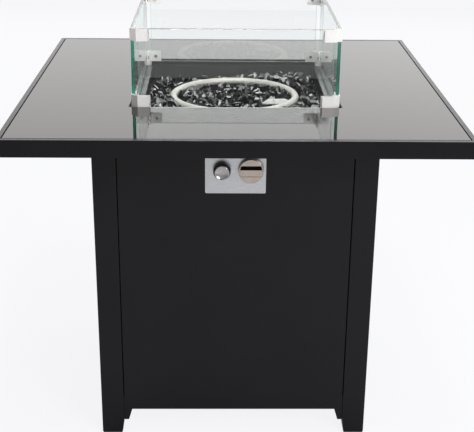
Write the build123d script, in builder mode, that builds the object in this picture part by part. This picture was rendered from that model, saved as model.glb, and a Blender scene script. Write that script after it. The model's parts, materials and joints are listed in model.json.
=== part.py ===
from build123d import *
import os
import random
from math import cos, hypot, radians, sin, sqrt

# Counter-height gas fire pit table. Millimetres, X to the right, Y to the rear, Z up from the floor.
# The origin is on the floor under the middle of the table, and the controls face -Y.

# Table top
top_side = 1067.0
top_height = 870.0
apron_height = 40.0
rail_lip = 12.0
rail_wall = 1.5
rail_depth = 34.0
rail_edge_radius = 1.5
glass_thickness = 6.0
glass_gap = 2.0
glass_corner_radius = 3.0
glass_bevel = 1.2
seal_thickness = 2.0
seal_width = 14.0
seal_setback = 3.0
beam_width = 40.0
beam_wall = 1.5

# Burner recess and pan
recess_side = 520.0
recess_depth = 14.0
recess_corner_radius = 4.0
beam_setback = 4.0
ledge_reach = 24.0
ledge_wall = 2.0
ledge_height = 20.0
flange_gap = 2.0
flange_corner_radius = 6.0
flange_width = 27.0
pan_depth = 80.0
pan_wall = 1.0
pan_corner_radius = 30.0

# Ring burner
ring_setback = 68.5
ring_tube_radius = 9.5
ring_tube_wall = 1.2
ring_lift = 52.5
port_count = 36
port_radius = 1.5
riser_angle = 255.0
riser_radius = 8.0
riser_wall = 1.5
post_count = 3
post_start_angle = 75.0
post_depth = 23.0
post_width = 14.0
lock_nut_height = 9.0
lock_nut_width = 26.0
mixer_radius = 12.0
mixer_length = 48.0
mixer_inlet_radius = 9.0
mixer_inlet_reach = 22.0
air_slot_width = 6.0
air_slot_height = 14.0
spigot_length = 20.0

# Rock filling
bed_depth = 42.0
bed_clearance = 0.4
rock_pitch = 33.0
rock_least_radius = 12.0
rock_most_radius = 15.5
rock_least_height = 10.0
rock_most_height = 27.0
rock_low_height = 8.0
rock_shift = 1.0
rock_gap = 1.0
rock_taper = 12.0
rock_seed = 11

# Spark electrode on its bracket
electrode_setback = 41.3
electrode_angle = -31.3
electrode_lift = 60.0
ceramic_radius = 4.0
ceramic_drop = 14.0
tip_radius = 1.25
tip_length = 9.0
bracket_turn = 30.6
bracket_sheet = 2.0
bracket_lift = 53.5
bracket_nose = 40.0
bracket_shoulder = 28.0
bracket_tail = 40.0
bracket_tail_width = 18.0
bracket_leg_width = 14.0

# Cabinet base
beam_bearing = 24.0
leg_width = 58.0
leg_wall = 1.5
leg_corner_radius = 2.0
foot_taper_height = 42.0
foot_setback = 5.0
glide_height = 4.0
glide_inset = 2.0
glide_plug_height = 12.0
glide_clearance = 0.4
panel_bottom = 70.0
panel_inset = 4.0
panel_sheet = 1.0
panel_groove = 2.0
base_rail_sheet = 1.5
base_rail_flange = 30.0
upper_rail_height = 40.0
lower_rail_height = 38.0
lower_rail_lift = 2.0
gusset_drop = 34.0
gusset_top_width = 22.0
gusset_foot_width = 12.0
shelf_sheet = 1.5
shelf_clearance = 1.0
tank_hole_radius = 105.0
tank_rim_height = 12.0
bolt_radius = 3.0
bolt_hole_clearance = 0.3
bolt_length = 18.0
bolt_head_width = 10.0
bolt_head_height = 4.0
bolt_edge = 12.0
bolt_setback = 14.0

# Control plate, gas valve and knob
plate_width = 147.0
plate_height = 120.0
plate_foot = 60.0
plate_thickness = 1.5
plate_corner_radius = 3.0
control_drop = 92.0
knob_x = 37.0
knob_radius = 31.0
knob_front_radius = 30.0
knob_skirt_depth = 8.0
knob_grip_depth = 12.0
knob_grip_base = 28.0
knob_grip_width = 16.0
knob_grip_inset = 2.5
knob_edge_radius = 1.2
knob_travel = 4.0
knob_rest_gap = 1.5
knob_bore_depth = 14.0
stem_radius = 4.0
stem_hole_radius = 6.0
fit_clearance = 0.05
valve_bracket_sheet = 2.0
valve_bracket_width = 68.0
valve_bracket_rise = 36.0
valve_width = 44.0
valve_height = 46.0
valve_length = 45.0
valve_boss_radius = 13.0
valve_boss_length = 8.5
stem_reach = 26.0
spring_seat_radius = 9.0
spring_seat_thickness = 2.0
cavity_spare = 1.5
inlet_hex_width = 19.0
inlet_hex_length = 9.0
inlet_radius = 7.94
inlet_length = 14.0
inlet_setback = 22.0
feed_pipe_radius = 5.0
feed_pipe_wall = 1.0
feed_pipe_bend = 38.0
feed_pipe_drop = 10.0

# Push-button igniter
igniter_x = -33.0
bezel_radius = 21.0
bezel_floor = 2.5
bezel_depth = 14.0
button_radius = 18.0
button_length = 15.3
button_wall = 2.0
button_edge_radius = 2.5
button_clearance = 0.4
button_travel = 5.0
button_rest_gap = 0.2
plunger_radius = 9.0
plunger_overlap = 18.0
barrel_radius = 14.0
barrel_length = 76.0
barrel_flange_radius = 17.5
barrel_flange = 2.0
barrel_hole_clearance = 0.5
barrel_nut_width = 36.0
barrel_nut_height = 8.0
lead_radius = 1.5
lead_bend = 9.0
lead_rise = 20.0
lead_first_run = 45.0
lead_elbow_x = 60.0
lead_elbow_y = -95.0

# Rear door and its hinges
door_sill = 42.0
door_header = 44.0
door_depth = 18.0
door_gap = 2.0
hinge_height = 60.0
hinge_from_end = 100.0
hinge_leaf = 26.0
hinge_sheet = 1.5
hinge_knuckle_radius = 4.0
hinge_pin_radius = 1.6
hinge_pin_head_radius = 2.6
hinge_pin_head = 1.5
hinge_segment_gap = 0.3
pull_radius = 11.0
pull_neck_radius = 6.0
pull_neck_length = 10.0
pull_head_length = 12.0
pull_edge_radius = 3.0
pull_from_edge = 36.0
catch_height = 40.0
catch_width = 18.0
catch_depth = 22.0
catch_gap = 0.3
strike_sheet = 2.0

# Wind guard
guard_gap = 5.0
guard_lift = 10.0
guard_height = 193.5
pane_thickness = 8.0
pane_clearance = 0.5
pane_side_gap = 0.3
pane_edge = 0.6
clip_sheet = 1.5
clip_height = 30.0
clip_facet = 16.0
clip_plate = 28.0
clip_inner_plate = 30.0
clip_fin = 5.0
screw_radius = 2.5
screw_head_radius = 4.5
screw_head = 3.0

# Levels and half sizes that follow from the values above
half_top = top_side / 2
base_top = top_height - apron_height
glass_bottom = top_height - glass_thickness
shelf_top = glass_bottom - seal_thickness
glass_half = half_top - rail_lip - glass_gap
recess_half = recess_side / 2
beam_inner = recess_half + beam_setback
beam_centre = beam_inner + beam_width / 2
beam_height = shelf_top - base_top
beam_mid = base_top + beam_height / 2
flange_top = top_height - recess_depth
ledge_top = flange_top - pan_wall
flange_half = recess_half - flange_gap
pan_opening = 2 * (flange_half - flange_width)
pan_under = flange_top - pan_depth
pan_floor = pan_under + pan_wall
ring_height = pan_floor + ring_lift
bed_top = pan_floor + bed_depth
ring_radius = pan_opening / 2 - ring_setback
riser_x = ring_radius * cos(radians(riser_angle))
riser_y = ring_radius * sin(radians(riser_angle))
electrode_x = (ring_radius - electrode_setback) * cos(radians(electrode_angle))
electrode_y = (ring_radius - electrode_setback) * sin(radians(electrode_angle))
leg_inner = beam_inner + beam_bearing
half_base = leg_inner + leg_width
leg_centre = half_base - leg_width / 2
foot_side = leg_width - foot_setback
foot_centre = half_base - foot_side / 2
panel_face = half_base - panel_inset
panel_back = panel_face - panel_sheet
panel_half = leg_inner - panel_groove
plate_face = panel_face + plate_thickness
control_height = base_top - control_drop
plate_bottom = control_height - plate_foot
door_bottom = panel_bottom + door_sill
door_top = base_top - door_header
lower_rail_bottom = panel_bottom + lower_rail_lift
shelf_bottom = lower_rail_bottom + base_rail_sheet
bolt_x = beam_inner + bolt_edge
bolt_y = panel_back - base_rail_sheet - bolt_setback
valve_front = panel_back - valve_bracket_sheet
valve_block_front = valve_front - valve_boss_length
valve_back = valve_block_front - valve_length
guard_half = recess_half - guard_gap
guard_bottom = flange_top + guard_lift
guard_top = guard_bottom + guard_height

os.makedirs("parts", exist_ok=True)


def write(piece, name):
    piece.label = name
    export_step(piece, f"parts/{name}.step")


def around(piece, count=4):
    """Copies of a piece at equal turns about the table's upright axis, as separate solids."""
    return Compound(children=[piece.rotate(Axis.Z, 360 * n / count) for n in range(count)])


# Table top: four mitred rails of folded sheet, with a lip and a rebate for the glass
with BuildPart() as top_rail:
    with BuildSketch(Plane.YZ):
        with BuildLine():
            Polyline(
                (-half_top, base_top),
                (-half_top + rail_depth, base_top),
                (-half_top + rail_depth, base_top + rail_wall),
                (-half_top + rail_wall, base_top + rail_wall),
                (-half_top + rail_wall, top_height - rail_wall),
                (-half_top + rail_lip - rail_wall, top_height - rail_wall),
                (-half_top + rail_lip - rail_wall, shelf_top - rail_wall),
                (-half_top + rail_depth, shelf_top - rail_wall),
                (-half_top + rail_depth, shelf_top),
                (-half_top + rail_lip, shelf_top),
                (-half_top + rail_lip, top_height),
                (-half_top, top_height),
                close=True,
            )
        make_face()
    extrude(amount=half_top, both=True)
    outer_edge = top_rail.edges().filter_by(Axis.X).group_by(Axis.Z)[-1].sort_by(Axis.Y)[0]
    fillet(outer_edge, rail_edge_radius)
    with BuildSketch(Plane.XY.offset(base_top)):
        with BuildLine():
            Polyline((-half_top, -half_top), (half_top, -half_top), (0, 0), close=True)
        make_face()
    extrude(amount=apron_height, mode=Mode.INTERSECT)

for side, turn in (("front", 0), ("right", 90), ("back", 180), ("left", 270)):
    write(top_rail.part.rotate(Axis.Z, turn), f"top_rail_{side}")

# Glass panel with the square burner cut-out and bevelled edges
with BuildPart() as top_glass:
    with BuildSketch(Plane.XY.offset(glass_bottom)):
        RectangleRounded(2 * glass_half, 2 * glass_half, glass_corner_radius)
        RectangleRounded(recess_side, recess_side, recess_corner_radius, mode=Mode.SUBTRACT)
    extrude(amount=glass_thickness)
    chamfer(top_glass.edges().group_by(Axis.Z)[-1], glass_bevel)
write(top_glass.part, "top_glass")

# Foam strips that bed the glass on the rails and on the beams
with BuildPart() as glass_seal:
    with BuildSketch(Plane.XY.offset(shelf_top)):
        Rectangle(2 * (glass_half - seal_setback), 2 * (glass_half - seal_setback))
        strip_hole = 2 * (glass_half - seal_setback - seal_width)
        Rectangle(strip_hole, strip_hole, mode=Mode.SUBTRACT)
        Rectangle(2 * (beam_inner + seal_width), 2 * (beam_inner + seal_width))
        Rectangle(2 * beam_inner, 2 * beam_inner, mode=Mode.SUBTRACT)
    extrude(amount=seal_thickness)
write(glass_seal.part, "glass_seal")

# Square tubes under the glass: two run from rail to rail, two close the burner frame between them
beam_reach = half_top - rail_depth
with BuildPart() as long_beams:
    with BuildSketch(Plane.XZ):
        with Locations((-beam_centre, beam_mid), (beam_centre, beam_mid)):
            Rectangle(beam_width, beam_height)
            Rectangle(beam_width - 2 * beam_wall, beam_height - 2 * beam_wall, mode=Mode.SUBTRACT)
    extrude(amount=beam_reach, both=True)
    with BuildSketch(Plane.XY.offset(base_top)):
        with GridLocations(2 * bolt_x, 2 * bolt_y, 2, 2):
            Circle(bolt_radius + bolt_hole_clearance)
    extrude(amount=beam_wall, mode=Mode.SUBTRACT)
write(long_beams.part, "top_beams_long")

with BuildPart() as short_beams:
    with BuildSketch(Plane.YZ):
        with Locations((-beam_centre, beam_mid), (beam_centre, beam_mid)):
            Rectangle(beam_width, beam_height)
            Rectangle(beam_width - 2 * beam_wall, beam_height - 2 * beam_wall, mode=Mode.SUBTRACT)
    extrude(amount=beam_inner, both=True)
write(short_beams.part, "top_beams_short")

# Mitred angle irons on the beams, which carry the pan's flange
with BuildPart() as ledge:
    with BuildSketch(Plane.YZ):
        with BuildLine():
            Polyline(
                (-beam_inner, ledge_top - ledge_height),
                (-beam_inner + ledge_wall, ledge_top - ledge_height),
                (-beam_inner + ledge_wall, ledge_top - ledge_wall),
                (-beam_inner + ledge_reach, ledge_top - ledge_wall),
                (-beam_inner + ledge_reach, ledge_top),
                (-beam_inner, ledge_top),
                close=True,
            )
        make_face()
    extrude(amount=beam_inner, both=True)
    with BuildSketch(Plane.XY.offset(ledge_top - ledge_height)):
        with BuildLine():
            Polyline((-beam_inner, -beam_inner), (beam_inner, -beam_inner), (0, 0), close=True)
        make_face()
    extrude(amount=ledge_height, mode=Mode.INTERSECT)
write(around(ledge.part), "burner_ledge")

# Burner pan: a square pressed bowl with a flat flange
with BuildPart() as burner_pan:
    with BuildSketch(Plane.XY.offset(pan_under)):
        RectangleRounded(
            pan_opening + 2 * pan_wall, pan_opening + 2 * pan_wall, pan_corner_radius + pan_wall
        )
    extrude(amount=pan_depth)
    with BuildSketch(Plane.XY.offset(ledge_top)):
        RectangleRounded(2 * flange_half, 2 * flange_half, flange_corner_radius)
    extrude(amount=pan_wall)
    with BuildSketch(Plane.XY.offset(pan_floor)):
        RectangleRounded(pan_opening, pan_opening, pan_corner_radius)
    extrude(amount=pan_depth, mode=Mode.SUBTRACT)
    with BuildSketch(Plane.XY.offset(pan_under)):
        with Locations((riser_x, riser_y)):
            Circle(riser_radius + bed_clearance)
        with Locations((electrode_x, electrode_y)):
            Circle(ceramic_radius + bed_clearance)
    extrude(amount=pan_wall, mode=Mode.SUBTRACT)
write(burner_pan.part, "burner_pan")

# Ring burner: a hollow ring with ports on its inner side
with BuildPart() as burner_ring:
    with BuildSketch(Plane.XZ):
        with Locations((ring_radius, ring_height)):
            Circle(ring_tube_radius)
            Circle(ring_tube_radius - ring_tube_wall, mode=Mode.SUBTRACT)
    revolve(axis=Axis.Z)
    with Locations((0, 0, ring_height)):
        with PolarLocations(ring_radius - ring_tube_radius, port_count):
            Cylinder(port_radius, 4 * ring_tube_wall, rotation=(0, 90, 0), mode=Mode.SUBTRACT)
write(burner_ring.part, "burner_ring")

# Riser tube, coped to the ring, that brings the gas in from below
riser_bottom = pan_under - lock_nut_height - spigot_length
with BuildPart() as burner_riser:
    with BuildSketch(Plane.XY.offset(riser_bottom)):
        with Locations((riser_x, riser_y)):
            Circle(riser_radius)
            Circle(riser_radius - riser_wall, mode=Mode.SUBTRACT)
    extrude(amount=ring_height - riser_bottom)
    with Locations((0, 0, ring_height)):
        Torus(ring_radius, ring_tube_radius + fit_clearance, mode=Mode.SUBTRACT)
write(burner_riser.part, "burner_riser")

# Posts that cradle the ring
with BuildPart() as burner_posts:
    with BuildSketch(Plane.XY.offset(pan_floor)):
        with PolarLocations(ring_radius, post_count, start_angle=post_start_angle):
            Rectangle(post_depth, post_width)
    extrude(amount=ring_lift)
    with Locations((0, 0, ring_height)):
        Torus(ring_radius, ring_tube_radius + fit_clearance, mode=Mode.SUBTRACT)
write(burner_posts.part, "burner_posts")

# Lock nut and air mixer on the riser, under the pan
with BuildPart() as lock_nut:
    with BuildSketch(Plane.XY.offset(pan_under - lock_nut_height)):
        with Locations((riser_x, riser_y)):
            RegularPolygon(lock_nut_width / 2, 6, major_radius=False)
            Circle(riser_radius + fit_clearance, mode=Mode.SUBTRACT)
    extrude(amount=lock_nut_height)
write(lock_nut.part, "riser_lock_nut")

mixer_top = pan_under - lock_nut_height
mixer_bottom = mixer_top - mixer_length
mixer_inlet_height = mixer_bottom + mixer_inlet_radius
with BuildPart() as air_mixer:
    with BuildSketch(Plane.XY.offset(mixer_bottom)):
        with Locations((riser_x, riser_y)):
            Circle(mixer_radius)
    extrude(amount=mixer_length)
    with BuildSketch(Plane.YZ.offset(riser_x)):
        with Locations((riser_y, mixer_inlet_height)):
            Circle(mixer_inlet_radius)
    extrude(amount=mixer_inlet_reach)
    with BuildSketch(Plane.XY.offset(mixer_top - spigot_length)):
        with Locations((riser_x, riser_y)):
            Circle(riser_radius + fit_clearance)
    extrude(amount=spigot_length, mode=Mode.SUBTRACT)
    with BuildSketch(Plane.XZ.offset(-riser_y)):
        with Locations((riser_x, mixer_top - spigot_length - air_slot_height / 2)):
            Rectangle(air_slot_width, air_slot_height)
    extrude(amount=mixer_radius, both=True, mode=Mode.SUBTRACT)
write(air_mixer.part, "air_mixer")

# Flat bracket beside the ring, with a leg down to the pan, and the spark electrode that it holds
bracket_plane = Plane(
    origin=(electrode_x, electrode_y, pan_floor + bracket_lift),
    x_dir=(cos(radians(bracket_turn)), sin(radians(bracket_turn)), 0),
    z_dir=(0, 0, 1),
)
leg_along = bracket_tail - bracket_sheet / 2
with BuildPart() as electrode_bracket:
    with BuildSketch(bracket_plane):
        with BuildLine():
            Polyline(
                (-bracket_nose, 0),
                (0, -bracket_shoulder),
                (bracket_tail, -bracket_tail_width / 2),
                (bracket_tail, bracket_tail_width / 2),
                (0, bracket_shoulder),
                close=True,
            )
        make_face()
        Circle(ceramic_radius + fit_clearance, mode=Mode.SUBTRACT)
    extrude(amount=bracket_sheet)
    with BuildSketch(bracket_plane.offset(-bracket_lift)):
        with Locations((leg_along, 0)):
            Rectangle(bracket_sheet, bracket_leg_width)
    extrude(amount=bracket_lift)
write(electrode_bracket.part, "electrode_bracket")

ceramic_bottom = pan_under - ceramic_drop
ceramic_top = pan_floor + electrode_lift
with BuildPart() as spark_electrode:
    with BuildSketch(Plane.XY.offset(ceramic_bottom)):
        with Locations((electrode_x, electrode_y)):
            Circle(ceramic_radius)
    extrude(amount=ceramic_top - ceramic_bottom)
    with BuildSketch(Plane.XY.offset(ceramic_top)):
        with Locations((electrode_x, electrode_y)):
            Circle(tip_radius)
    extrude(amount=tip_length)
write(spark_electrode.part, "spark_electrode")

# Rock filling: a packed lower layer, cut round what stands in it, and loose rocks that lie on it
leg_x = electrode_x + leg_along * cos(radians(bracket_turn))
leg_y = electrode_y + leg_along * sin(radians(bracket_turn))
with BuildPart() as rock_bed:
    with BuildSketch(Plane.XY.offset(pan_floor)):
        bed_side = pan_opening - 2 * bed_clearance
        RectangleRounded(bed_side, bed_side, pan_corner_radius)
        with PolarLocations(ring_radius, post_count, start_angle=post_start_angle):
            Rectangle(post_depth + 2 * bed_clearance, post_width + 2 * bed_clearance, mode=Mode.SUBTRACT)
        with Locations((riser_x, riser_y)):
            Circle(riser_radius + bed_clearance, mode=Mode.SUBTRACT)
        with Locations((electrode_x, electrode_y)):
            Circle(ceramic_radius + bed_clearance, mode=Mode.SUBTRACT)
        with Locations(Location((leg_x, leg_y), bracket_turn)):
            Rectangle(
                bracket_sheet + 2 * bed_clearance, bracket_leg_width + 2 * bed_clearance, mode=Mode.SUBTRACT
            )
    extrude(amount=bed_depth)
write(rock_bed.part, "lava_rock_bed")


def rock_fits(x, y, radius):
    """Whether a rock of this radius stays clear of the ring, its posts, the bracket's leg and the pan."""
    reach = radius + rock_gap
    if abs(hypot(x, y) - ring_radius) < max(ring_tube_radius, post_depth / 2) + reach:
        return False
    if hypot(x - electrode_x, y - electrode_y) < ceramic_radius + reach:
        return False
    if hypot(x - leg_x, y - leg_y) < bracket_leg_width / 2 + reach:
        return False
    arc_centre = pan_opening / 2 - pan_corner_radius
    if abs(x) > arc_centre and abs(y) > arc_centre:
        return hypot(abs(x) - arc_centre, abs(y) - arc_centre) + reach < pan_corner_radius
    return max(abs(x), abs(y)) + reach < pan_opening / 2


chance = random.Random(rock_seed)
rocks_wide = int(pan_opening // (rock_pitch * cos(radians(30))))
rocks_deep = int(pan_opening // rock_pitch)
bracket_reach = max(bracket_nose, bracket_shoulder, hypot(bracket_tail, bracket_tail_width / 2))
lava_rocks = []
for grid_spot in HexLocations(rock_pitch / 2, rocks_wide, rocks_deep):
    rock_x = grid_spot.position.X + chance.uniform(-rock_shift, rock_shift)
    rock_y = grid_spot.position.Y + chance.uniform(-rock_shift, rock_shift)
    rock_radius = chance.uniform(rock_least_radius, rock_most_radius)
    rock_height = chance.uniform(rock_least_height, rock_most_height)
    rock_corners = chance.choice((5, 6, 7))
    rock_turn = chance.uniform(0, 360)
    if not rock_fits(rock_x, rock_y, rock_radius):
        continue
    if hypot(rock_x - electrode_x, rock_y - electrode_y) < bracket_reach + rock_radius:
        rock_height = rock_low_height
    with BuildPart() as rock:
        with BuildSketch(Plane.XY.offset(bed_top)):
            with Locations((rock_x, rock_y)):
                RegularPolygon(rock_radius, rock_corners, rotation=rock_turn)
        extrude(amount=rock_height, taper=rock_taper)
    lava_rocks.append(rock.part)
write(Compound(children=lava_rocks), "lava_rocks")

# Legs: square tubes whose feet draw in on the two inner sides
with BuildPart() as leg:
    with BuildSketch(Plane.XY.offset(glide_height)):
        with Locations((foot_centre, foot_centre)):
            RectangleRounded(foot_side, foot_side, leg_corner_radius)
    with BuildSketch(Plane.XY.offset(foot_taper_height)) as shaft:
        with Locations((leg_centre, leg_centre)):
            RectangleRounded(leg_width, leg_width, leg_corner_radius)
    loft()
    extrude(shaft.sketch, amount=base_top - foot_taper_height)
    with BuildSketch(Plane.XY.offset(glide_height)):
        with Locations((foot_centre, foot_centre)):
            Rectangle(foot_side - 2 * leg_wall, foot_side - 2 * leg_wall)
    with BuildSketch(Plane.XY.offset(foot_taper_height)) as hollow:
        with Locations((leg_centre, leg_centre)):
            Rectangle(leg_width - 2 * leg_wall, leg_width - 2 * leg_wall)
    loft(mode=Mode.SUBTRACT)
    extrude(hollow.sketch, amount=base_top - foot_taper_height, mode=Mode.SUBTRACT)

for corner, turn in (("back_right", 0), ("back_left", 90), ("front_left", 180), ("front_right", 270)):
    write(leg.part.rotate(Axis.Z, turn), f"leg_{corner}")

# Plastic glides plugged into the feet
with BuildPart() as glide:
    with BuildSketch(Plane.XY):
        with Locations((foot_centre, foot_centre)):
            RectangleRounded(foot_side - glide_inset, foot_side - glide_inset, leg_corner_radius)
    extrude(amount=glide_height)
    with BuildSketch(Plane.XY.offset(glide_height)):
        with Locations((foot_centre, foot_centre)):
            plug_side = foot_side - 2 * leg_wall - 2 * glide_clearance
            Rectangle(plug_side, plug_side)
    extrude(amount=glide_plug_height)
write(around(glide.part), "foot_glides")

# Front panel with the holes for the controls
with BuildPart() as front_panel:
    with BuildSketch(Plane.XZ.offset(panel_back)):
        with Locations((0, (panel_bottom + base_top) / 2)):
            Rectangle(2 * panel_half, base_top - panel_bottom)
        with Locations((igniter_x, control_height)):
            Circle(barrel_radius + barrel_hole_clearance, mode=Mode.SUBTRACT)
        with Locations((knob_x, control_height)):
            Circle(stem_hole_radius, mode=Mode.SUBTRACT)
    extrude(amount=panel_sheet)
write(front_panel.part, "front_panel")

# Plain side panels
with BuildPart() as side_panel:
    with BuildSketch(Plane.YZ.offset(panel_back)):
        with Locations((0, (panel_bottom + base_top) / 2)):
            Rectangle(2 * panel_half, base_top - panel_bottom)
    extrude(amount=panel_sheet)
write(side_panel.part, "right_panel")
write(side_panel.part.rotate(Axis.Z, 180), "left_panel")

# Fixed strips above and below the rear door
sill_top = door_bottom - door_gap
header_bottom = door_top + door_gap
with BuildPart() as rear_strips:
    with BuildSketch(Plane.XZ.offset(-panel_face)):
        with Locations((0, (panel_bottom + sill_top) / 2)):
            Rectangle(2 * panel_half, sill_top - panel_bottom)
        with Locations((0, (header_bottom + base_top) / 2)):
            Rectangle(2 * panel_half, base_top - header_bottom)
    extrude(amount=panel_sheet)
write(rear_strips.part, "rear_strips")

# Angle rails between the legs, at the top and at the bottom of the panels
rail_back = panel_back - base_rail_sheet
rail_reach = panel_back - base_rail_flange
with BuildPart() as upper_rail:
    with BuildSketch(Plane.YZ):
        with BuildLine():
            Polyline(
                (-panel_back, base_top - upper_rail_height),
                (-rail_back, base_top - upper_rail_height),
                (-rail_back, base_top - base_rail_sheet),
                (-rail_reach, base_top - base_rail_sheet),
                (-rail_reach, base_top),
                (-panel_back, base_top),
                close=True,
            )
        make_face()
    extrude(amount=leg_inner, both=True)
    with BuildSketch(Plane.XY.offset(base_top - base_rail_sheet)):
        with Locations((-bolt_x, -bolt_y), (bolt_x, -bolt_y)):
            Circle(bolt_radius + bolt_hole_clearance)
    extrude(amount=base_rail_sheet, mode=Mode.SUBTRACT)
write(around(upper_rail.part), "upper_rails")

with BuildPart() as lower_rail:
    with BuildSketch(Plane.YZ):
        with BuildLine():
            Polyline(
                (-panel_back, lower_rail_bottom),
                (-rail_reach, lower_rail_bottom),
                (-rail_reach, shelf_bottom),
                (-rail_back, shelf_bottom),
                (-rail_back, lower_rail_bottom + lower_rail_height),
                (-panel_back, lower_rail_bottom + lower_rail_height),
                close=True,
            )
        make_face()
    extrude(amount=leg_inner, both=True)
write(around(lower_rail.part), "lower_rails")

# Gusset plates in the corners between the legs and the lower rails
with BuildPart() as gusset_pair:
    with BuildSketch(Plane.XZ.offset(rail_back)):
        with BuildLine():
            Polyline(
                (leg_inner, lower_rail_bottom),
                (leg_inner - gusset_top_width, lower_rail_bottom),
                (leg_inner - gusset_foot_width, lower_rail_bottom - gusset_drop),
                (leg_inner, lower_rail_bottom - gusset_drop),
                close=True,
            )
        make_face()
        mirror(about=Plane.YZ)
    extrude(amount=base_rail_sheet)
write(around(gusset_pair.part), "corner_gussets")

# Shelf for the gas tank, with a rimmed hole for the tank's foot ring and notches for the legs
shelf_half = rail_back - shelf_clearance
notch = shelf_half - leg_inner + shelf_clearance
with BuildPart() as tank_shelf:
    with BuildSketch(Plane.XY.offset(shelf_bottom)):
        Rectangle(2 * shelf_half, 2 * shelf_half)
        with GridLocations(2 * shelf_half - notch, 2 * shelf_half - notch, 2, 2):
            Rectangle(notch, notch, mode=Mode.SUBTRACT)
        Circle(tank_hole_radius, mode=Mode.SUBTRACT)
    extrude(amount=shelf_sheet)
    with BuildSketch(Plane.XY.offset(shelf_bottom + shelf_sheet)):
        Circle(tank_hole_radius + shelf_sheet)
        Circle(tank_hole_radius, mode=Mode.SUBTRACT)
    extrude(amount=tank_rim_height)
write(tank_shelf.part, "tank_shelf")

# Bolts that hold the top on the cabinet
bolt_seat = base_top - base_rail_sheet
with BuildPart() as top_bolts:
    with BuildSketch(Plane.XY.offset(bolt_seat - bolt_head_height)):
        with GridLocations(2 * bolt_x, 2 * bolt_y, 2, 2):
            RegularPolygon(bolt_head_width / 2, 6, major_radius=False)
    extrude(amount=bolt_head_height)
    with BuildSketch(Plane.XY.offset(bolt_seat)):
        with GridLocations(2 * bolt_x, 2 * bolt_y, 2, 2):
            Circle(bolt_radius)
    extrude(amount=bolt_length)
write(top_bolts.part, "top_bolts")

# Control plate on the front panel
with BuildPart() as control_plate:
    with BuildSketch(Plane.XZ.offset(panel_face)):
        with Locations((0, plate_bottom + plate_height / 2)):
            RectangleRounded(plate_width, plate_height, plate_corner_radius)
        with Locations((igniter_x, control_height)):
            Circle(barrel_radius + barrel_hole_clearance, mode=Mode.SUBTRACT)
        with Locations((knob_x, control_height)):
            Circle(stem_hole_radius, mode=Mode.SUBTRACT)
    extrude(amount=plate_thickness)
write(control_plate.part, "control_plate")

# Bracket behind the panel that carries the gas valve
valve_under = control_height - valve_height / 2
with BuildPart() as valve_bracket:
    with BuildSketch(Plane.XZ.offset(valve_front)):
        bracket_low = valve_under - valve_bracket_sheet
        bracket_high = control_height + valve_bracket_rise
        with Locations((knob_x, (bracket_low + bracket_high) / 2)):
            Rectangle(valve_bracket_width, bracket_high - bracket_low)
        with Locations((knob_x, control_height)):
            Circle(stem_hole_radius, mode=Mode.SUBTRACT)
    extrude(amount=valve_bracket_sheet)
    with BuildSketch(Plane.XY.offset(bracket_low)):
        with Locations((knob_x, -(valve_front + valve_back) / 2)):
            Rectangle(valve_bracket_width, valve_front - valve_back)
    extrude(amount=valve_bracket_sheet)
write(valve_bracket.part, "valve_bracket")

# Gas valve: a block with a front boss, a cavity for the spring seat and a bore for the stem
cavity_depth = spring_seat_thickness + knob_travel + cavity_spare
stem_end = valve_front - cavity_depth - stem_reach
with BuildPart() as gas_valve:
    with BuildSketch(Plane.XZ.offset(valve_back)):
        with Locations((knob_x, control_height)):
            Rectangle(valve_width, valve_height)
    extrude(amount=valve_length)
    with BuildSketch(Plane.XZ.offset(valve_block_front)):
        with Locations((knob_x, control_height)):
            Circle(valve_boss_radius)
    extrude(amount=valve_boss_length)
    with BuildSketch(Plane.XZ.offset(valve_front - cavity_depth)):
        with Locations((knob_x, control_height)):
            Circle(spring_seat_radius + fit_clearance)
    extrude(amount=cavity_depth, mode=Mode.SUBTRACT)
    with BuildSketch(Plane.XZ.offset(stem_end - knob_travel - cavity_spare)):
        with Locations((knob_x, control_height)):
            Circle(stem_radius + fit_clearance)
    extrude(amount=stem_reach + knob_travel + cavity_spare, mode=Mode.SUBTRACT)
write(gas_valve.part, "gas_valve")

# Flare fitting on the side of the valve, where the tank's hose is screwed on
with BuildPart() as inlet_fitting:
    with BuildSketch(Plane.YZ.offset(knob_x + valve_width / 2)):
        with Locations((-valve_back - inlet_setback, control_height)):
            RegularPolygon(inlet_hex_width / 2, 6, major_radius=False)
    extrude(amount=inlet_hex_length)
    with BuildSketch(Plane.YZ.offset(knob_x + valve_width / 2 + inlet_hex_length)):
        with Locations((-valve_back - inlet_setback, control_height)):
            Circle(inlet_radius)
    extrude(amount=inlet_length)
write(inlet_fitting.part, "gas_inlet_fitting")

# Rigid pipe from the valve to the air mixer
outlet_height = control_height - feed_pipe_drop
with BuildPart() as feed_pipe:
    with BuildLine():
        FilletPolyline(
            (knob_x, -valve_back, outlet_height),
            (knob_x, riser_y, mixer_inlet_height),
            (riser_x + mixer_inlet_reach, riser_y, mixer_inlet_height),
            radius=feed_pipe_bend,
        )
    with BuildSketch(Plane(origin=(knob_x, -valve_back, outlet_height), z_dir=(0, 1, 0))):
        Circle(feed_pipe_radius)
        Circle(feed_pipe_radius - feed_pipe_wall, mode=Mode.SUBTRACT)
    sweep()
write(feed_pipe.part, "burner_feed_pipe")

# Spring seat that slides in the valve, and the stem that turns in it
with BuildPart() as spring_seat:
    with BuildSketch(Plane.XZ.offset(valve_front - spring_seat_thickness)):
        with Locations((knob_x, control_height)):
            Circle(spring_seat_radius)
            Circle(stem_radius + fit_clearance, mode=Mode.SUBTRACT)
    extrude(amount=spring_seat_thickness)
write(spring_seat.part, "stem_spring_seat")

knob_back = plate_face + knob_travel + knob_rest_gap
stem_front = knob_back + knob_bore_depth
with BuildPart() as valve_stem:
    with BuildSketch(Plane.XZ.offset(stem_end)):
        with Locations((knob_x, control_height)):
            Circle(stem_radius)
    extrude(amount=stem_front - stem_end)
write(valve_stem.part, "valve_stem")

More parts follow.
